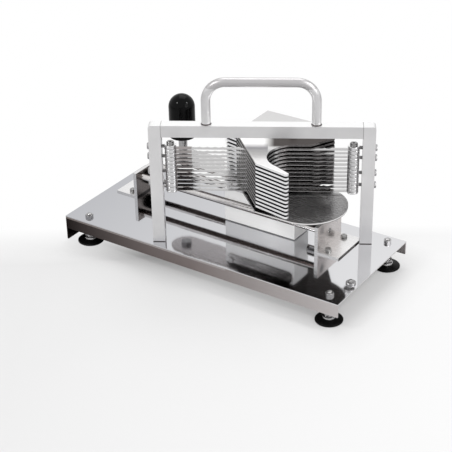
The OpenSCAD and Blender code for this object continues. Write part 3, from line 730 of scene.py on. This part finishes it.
UPRIGHT_SCREW = 117.25
BLADES, BLADE_LOW, THICKNESS, PITCH = 12, 112.4, 0.5, 5.4
RING_HEIGHTS = [BLADE_LOW + THICKNESS / 2 + PITCH * k for k in range(BLADES)]
copies_of(ring(0, PITCH - THICKNESS), "stack_rings", on_stacks(*RING_HEIGHTS), "portal_steel", "frame",
          ["spacers_left", "spacers_right"])
copies_of(ring(110, 112.15), "stack_feet", on_stacks(0), "portal_steel", "frame")


# %% Screws of the stacks and of the plates: a cap with a hexagonal socket
def cap_screw(depth, shank=3, head=5, height=4):
    """Draws a screw that goes that deep below its head."""
    socket = head * 0.27

    def draw(bm):
        turned(bm, [(0, -depth), (shank - 0.4, -depth), (shank, 0.4 - depth), (shank, 0.1), (0, 0.1)], 28)
        turned(bm, [(0, 0), (head - 0.2, 0), (head, 0.3), (head, height - 0.7), (head - 0.7, height),
                    (socket * 1.25, height), (socket * 1.15, height - 0.2, socket),
                    (socket * 1.15, height * 0.4, socket), (0, height * 0.4)], 48)

    return draw


STACK_TOP, PLATE_STACK_TOP = 176.95, 175.9
copies_of(cap_screw(66.9), "stack_screws", on_stacks(STACK_TOP), "screw_dark", "frame",
          ["stack_screw_left", "stack_screw_right"], [0.4, 1.2])
PLATE_SCREWS = [(x, y, PLATE_STACK_TOP) for x, y in ((12.15, 26.04), (37.67, 42.86), (70.47, 39.96))]
copies_of(cap_screw(83.8), "plate_screws", PLATE_SCREWS, "screw_dark", "pusher",
          ["finger_bolts"], [0.1, 0.7, 1.3])


# %% Tension bolts, with a thread between the leg and the stack
def tension_part(bm):
    flats = flats_of(9)
    turned(bm, [(0, 124.95), *thread(2.5, 124.95, 128.5, 0.8), (2.5, 144.6), (0, 144.6)],
           24, along=(1, 0, 0))
    turned(bm, [(0, 144.5), (4.2, 144.5, flats), (4.5, 144.9, flats), (4.5, 146.6, flats),
                (3.6, 147.3, flats), (0, 147.3)], 36, along=(1, 0, 0))


STACK_LOW, STACK_HEIGHT = 110, 66.95
BOLT_HEIGHTS = [STACK_LOW + share * STACK_HEIGHT for share in (0.17, 0.43, 0.75, 0.96)]
copies_of(tension_part, "tension_bolts", [in_portal(0, 0, height) for height in BOLT_HEIGHTS * 2],
          "bolt_steel", "frame", ["tension_bolts_left", "tension_bolts_right"],
          [TURN] * 4 + [TURN + math.pi] * 4)

# %% [markdown]
# ## Scalloped blades
# A slicing blade is a thin strip whose cutting edge is ground into shallow scallops, and
# it is thinnest at the edge. The shape follows a rule, a sine along the length, so a
# geometry tree makes it from a grid: rows across the width, moved by arithmetic, given a
# thickness, and copied once for each blade of the stack.

# %% The outline of one blade
blades = geometry_tree("scalloped_blades", {
    "Blades": "Int", "Pitch": "Float", "Length": "Float", "Width": "Float", "Thickness": "Float",
    "Bevel": "Float", "Scallop length": "Float", "Scallop depth": "Float", "Scalloped half": "Float",
    "Place": "Vector", "Turn": "Vector", "Finish": "Material"})
g = blades.given
COLUMNS, ROWS = 420, 3
strip = blades.node("GeometryNodeMeshGrid", None,
                    {"Size X": g["Length"], "Size Y": 1.0, "Vertices X": COLUMNS, "Vertices Y": ROWS})
where = blades.node("GeometryNodeInputPosition")
px, py, pz = (blades.node("ShaderNodeSeparateXYZ", None, {0: where}, axis) for axis in (X, Y, Z))
row = py + 0.5
ground = (row * 2.0 - 1.0).highest(0.0)
phase = (px + g["Scalloped half"]) / g["Scallop length"] * math.pi
notch = phase.wave().absolute() * g["Scallop depth"] * (px.absolute() < g["Scalloped half"])
back_edge = g["Width"] * -0.5
body = (row * 2.0).lowest(1.0) * (g["Width"] - g["Bevel"])
reach = ground * (g["Bevel"] - notch)
marked = blades.node("GeometryNodeStoreNamedAttribute", {"data_type": "FLOAT", "domain": "POINT"},
                     {"Geometry": strip, "Name": "ground", "Value": ground})
outline = blades.node("GeometryNodeSetPosition", None, {
    "Geometry": marked,
    "Position": blades.node("ShaderNodeCombineXYZ", None, {X: px, Y: back_edge + body + reach})})
print("a blade's outline has", len(blades.tree.nodes), "nodes")

# %% Its thickness, least at the edge, and the stack
EDGE_TAPER, WELD_DISTANCE = 0.85, 0.000001
thick = blades.node("GeometryNodeExtrudeMesh", None, {
    "Mesh": outline, "Offset": (0.0, 0.0, 1.0), "Offset Scale": g["Thickness"], "Individual": False})
under = blades.node("GeometryNodeFlipFaces", None, {"Mesh": outline})
both = blades.node("GeometryNodeJoinGeometry", None, {"Geometry": [thick, under]})
whole = blades.node("GeometryNodeMergeByDistance", None, {"Geometry": both, "Distance": WELD_DISTANCE})
worn = blades.node("GeometryNodeInputNamedAttribute", {"data_type": "FLOAT"}, {"Name": "ground"})
half = (pz - g["Thickness"] * 0.5) * (1.0 - worn * EDGE_TAPER)
sharp = blades.node("GeometryNodeSetPosition", None, {
    "Geometry": whole, "Offset": blades.node("ShaderNodeCombineXYZ", None, {Z: half - pz})})
rise = blades.node("ShaderNodeCombineXYZ", None, {Z: g["Pitch"]})
line = blades.node("GeometryNodeMeshLine", {"mode": "OFFSET"}, {"Count": g["Blades"], "Offset": rise})
stack = blades.node("GeometryNodeInstanceOnPoints", None, {"Points": line, "Instance": sharp})
placed = blades.node("GeometryNodeTransform", None,
                     {"Geometry": stack, "Translation": g["Place"], "Rotation": g["Turn"]})
end_tree(blades, placed, g["Finish"])
print("the whole tree has", len(blades.tree.nodes), "nodes")

# %% The twelve blades
SCALLOPS = {"Scallop length": 0.010, "Scallop depth": 0.0022, "Scalloped half": 0.09}
blade_stack = grown("blade_stack", blades, Blades=BLADES, Pitch=PITCH * MM, Length=0.2495, Width=0.008,
                    Thickness=THICKNESS * MM, Bevel=0.0034, Place=(PORTAL.x, PORTAL.y, BLADE_LOW * MM),
                    Turn=(0, 0, TURN), Finish=blade_steel, **SCALLOPS)
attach(blade_stack, "frame")
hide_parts(*[f"blade_{k:02d}" for k in range(1, 13)])

# %% [markdown]
# ## Welds of the handle
# The handle is welded to the bar. A weld is a small rounded collar, so one is turned
# and copied to the two feet of the handle.

# %% Handle welds
def weld(bm):
    turned(bm, [(5.6, 0), (7.0, 0), (6.9, 0.4), (6.5, 0.9), (6.2, 1.4), (5.6, 1.6)], 40, closed=True)


HANDLE_MIDDLE, HANDLE_HALF, BAR_TOP = -0.5, 70, 206
copies_of(weld, "handle_welds", [in_portal(HANDLE_MIDDLE + side * HANDLE_HALF, 0, BAR_TOP) for side in (-1, 1)],
          "portal_steel", "frame")

# %% [markdown]
# ## Floor, background and light
# The slicer stands on a pale floor under plain soft light. The world is a plain level for
# the light that falls on the slicer, and pure white wherever the camera or a reflection
# sees it, so that the background is white and the steel shows a white room. The floor
# also fades to white where the camera sees it, far away and behind the slicer, and is
# kept greyer close beside its right end. Reflections and bounced light see the floor's
# plain pale finish.

# %% World
AMBIENT = 0.72
world = bpy.data.worlds.new("Studio")
bpy.context.scene.world = world
world.use_nodes = True
sky = Graph(world.node_tree)
for old in list(world.node_tree.nodes):
    world.node_tree.nodes.remove(old)
camera_ray, glossy_ray, clear_ray = (sky.node("ShaderNodeLightPath", None, None, f"Is {kind} Ray")
                                     for kind in ("Camera", "Glossy", "Transmission"))
seen = camera_ray.highest(glossy_ray).highest(clear_ray)
level = sky.node("ShaderNodeBackground", None,
                 {"Color": (1, 1, 1, 1), "Strength": seen * (1 - AMBIENT) + AMBIENT})
world_out = world.node_tree.nodes.new("ShaderNodeOutputWorld")
world.node_tree.links.new(level.socket, world_out.inputs["Surface"])
print("world: white to the camera,", AMBIENT, "as light")

# %% Floor
FLOOR = 9
floor_mesh = bpy.data.meshes.new("floor")
floor_mesh.from_pydata([(-FLOOR, -FLOOR, 0), (FLOOR, -FLOOR, 0), (FLOOR, FLOOR, 0), (-FLOOR, FLOOR, 0)],
                       [], [(0, 1, 2, 3)])
floor = bpy.data.objects.new("floor", floor_mesh)
bpy.context.scene.collection.objects.link(floor)
pale = Finish("pale_floor", Metallic=0.0, Roughness=0.6)
floor_mesh.materials.append(pale.feed(pale.blend(pale.cloud(0.6), (0.60, 0.598, 0.60), (0.625, 0.625, 0.625))))
print("floor:", 2 * FLOOR, "m square")


# %% The floor fades to white for the camera
def distance(x, y):
    return (x * x + y * y).math("SQRT")


HALF_LENGTH, HALF_WIDTH, SHADOW_REACH, SHADOW_DEPTH = 0.215, 0.095, 0.055, 0.6
x, y = pale.part(X), pale.part(Y)
# Behind the slicer is the direction in which the camera looks, laid on the floor.
behind = (y * 0.838 - x * 0.545).rise(-0.03, 0.10)
far = behind.highest(distance(x, y).rise(0.55, 0.5))
# From the front left to the back right the floor gets paler.
paler = (x * 1.2 + y * 0.75 + 0.36).lowest(0.7).highest(0.0)
# The real shadow beside the base is deepened by a painted shadow, within a short reach of it and only on the
# right.
out = distance((x.absolute() - HALF_LENGTH).highest(0.0), (y.absolute() - HALF_WIDTH).highest(0.0))
beside = (1.0 - out / SHADOW_REACH).highest(0.0) * x.rise(0.02, 0.2)
paler = paler * (1.0 - beside * SHADOW_DEPTH)
far = far * (1.0 - (x > HALF_LENGTH) * beside * SHADOW_DEPTH)
share = pale.node("ShaderNodeLightPath", None, None, "Is Camera Ray") * far.highest(paler)
glow = pale.node("ShaderNodeEmission", None, {"Color": (1, 1, 1, 1), "Strength": 1.0})
mixed = pale.node("ShaderNodeMixShader", None, {0: share, 1: Wire(pale, pale.shader.outputs[0]), 2: glow})
pale.tree.links.new(mixed.socket, pale.tree.nodes["Material Output"].inputs["Surface"])
print("floor: grey beside the slicer, white far from it")

# %% [markdown]
# ## Lamps
# A large lamp hangs above and a larger one stands in front. The front one lights the
# slicer but is not mirrored, because its reflection would whiten the legs. Two small ones
# leave the bright spots on the grip, and one stands on the right.

# %% Lamps
GRIP = (-0.1, 0.03, 0.24)


def lamp(name, place, aim, size, power, mirrored=True):
    """A square soft lamp. One that is not mirrored does not show in the steel."""
    data = bpy.data.lights.new(name, "AREA")
    data.size, data.energy = size, power
    made = bpy.data.objects.new(name, data)
    made.location = place
    made.rotation_euler = (Vector(aim) - Vector(place)).to_track_quat("-Z", "Y").to_euler()
    made.visible_glossy = mirrored
    bpy.context.scene.collection.objects.link(made)
    print(name, power, "W")


lamp("lamp_above", (-0.35, 0.75, 1.7), (0, 0, 0.05), 1.2, 8)
lamp("lamp_front", (0.7, -2.2, 1.55), (0.05, 0, 0.08), 2.4, 28, mirrored=False)
lamp("lamp_grip_left", (-0.42, -0.77, 1.08), GRIP, 0.16, 3)
lamp("lamp_grip_right", (0.82, 0.22, 0.97), GRIP, 0.16, 3)
lamp("lamp_right", (1.6, -0.2, 0.9), (0.1, 0, 0.1), 0.9, 5)
bpy.context.scene.view_settings.view_transform = "Standard"
